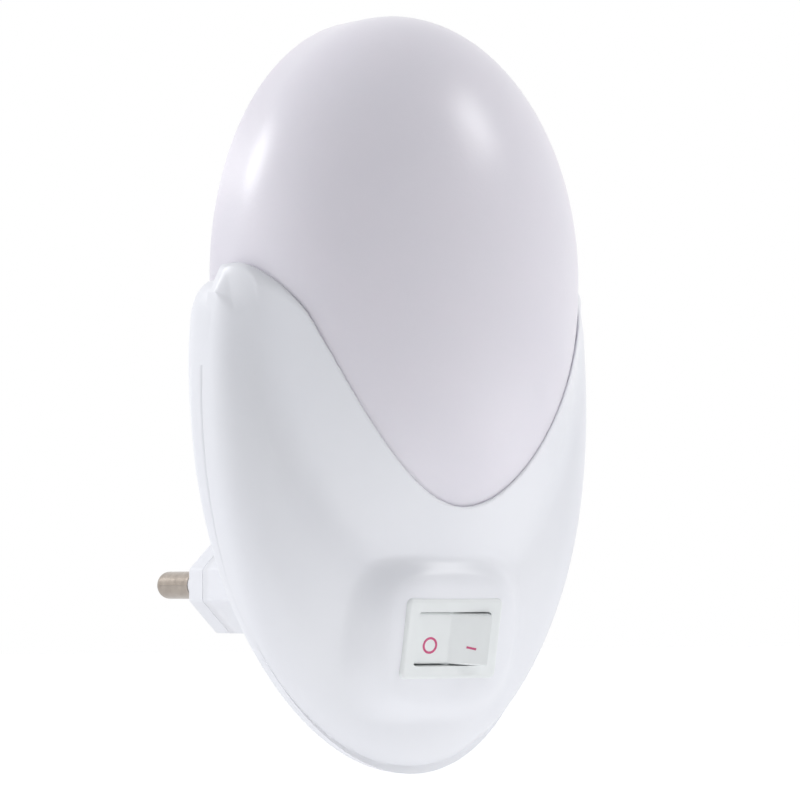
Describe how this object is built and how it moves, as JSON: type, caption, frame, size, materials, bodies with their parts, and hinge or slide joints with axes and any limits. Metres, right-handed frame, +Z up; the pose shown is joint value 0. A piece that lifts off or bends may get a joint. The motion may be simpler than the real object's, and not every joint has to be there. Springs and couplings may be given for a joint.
{
  "type": "plug-in night light",
  "caption": "Oval white plug-in night light: opal egg-shaped diffuser held in a cradle housing, small rocker switch on a low mound, flat round-pin mains plug behind.",
  "frame": {"origin": "midway between the plug pins, on the face of the plug that meets the socket", "axes": "+Y along the pins into the wall, +Z up, +X to the right of someone facing the light, whose front is -Y"},
  "size_m": [0.063, 0.0684, 0.105],
  "materials": {
    "opal_plastic": "satin",
    "white_housing_plastic": "satin",
    "nickel_plated_brass": "polished",
    "white_sleeve_plastic": "matte",
    "white_switch_plastic": "satin",
    "natural_nylon": "matte",
    "spring_steel": "bright",
    "contact_brass": "bright",
    "shrink_sleeve": "matte",
    "board_laminate": "matte",
    "clear_epoxy": "gloss",
    "tinned_steel": "bright",
    "film_capacitor_case": "satin",
    "capacitor_sleeve": "satin",
    "black_epoxy": "matte",
    "resistor_lacquer": "satin",
    "brown_wire_cover": "satin",
    "grey_wire_cover": "satin",
    "blue_wire_cover": "satin",
    "zinc_plated_steel": "bright"
  },
  "bodies": {
    "light": {"diffuser": "opal_plastic", "front_housing": "white_housing_plastic", "back_shell": "white_housing_plastic", "plug_cap": "white_housing_plastic", "plug_pins": "nickel_plated_brass", "shank_sleeves": "white_sleeve_plastic", "switch_frame": "white_switch_plastic", "centre_terminal": "contact_brass", "end_terminal": "contact_brass", "terminal_sleeves": "shrink_sleeve", "circuit_board": "board_laminate", "led_lamps": "clear_epoxy", "led_legs": "tinned_steel", "dropper_capacitor": "film_capacitor_case", "smoothing_capacitor": "capacitor_sleeve", "bridge_rectifier": "black_epoxy", "resistors": "resistor_lacquer", "feed_wire": "brown_wire_cover", "switched_wire": "grey_wire_cover", "return_wire": "blue_wire_cover", "board_screws": "zinc_plated_steel", "housing_screws": "zinc_plated_steel"},
    "rocker": {"rocker": "white_switch_plastic", "rocker_plunger": "natural_nylon", "rocker_spring": "spring_steel"},
    "contact_lever": {"contact_lever": "contact_brass"}
  },
  "joints": [
    {"name": "rocker_tilt", "type": "hinge", "parent": "light", "child": "rocker", "pos_m": [0, -0.03832, -0.00711], "axis": [0, -0.1908, 0.9816], "range_deg": [0, 22]},
    {"name": "contact_tilt", "type": "hinge", "parent": "light", "child": "contact_lever", "pos_m": [0, -0.03115, -0.00572], "axis": [0, -0.1908, 0.9816], "range_deg": [-16, 0]}
  ],
  "couplings": [
    {"joint": "contact_tilt", "follows": "rocker_tilt", "ratio": -0.72727}
  ]
}
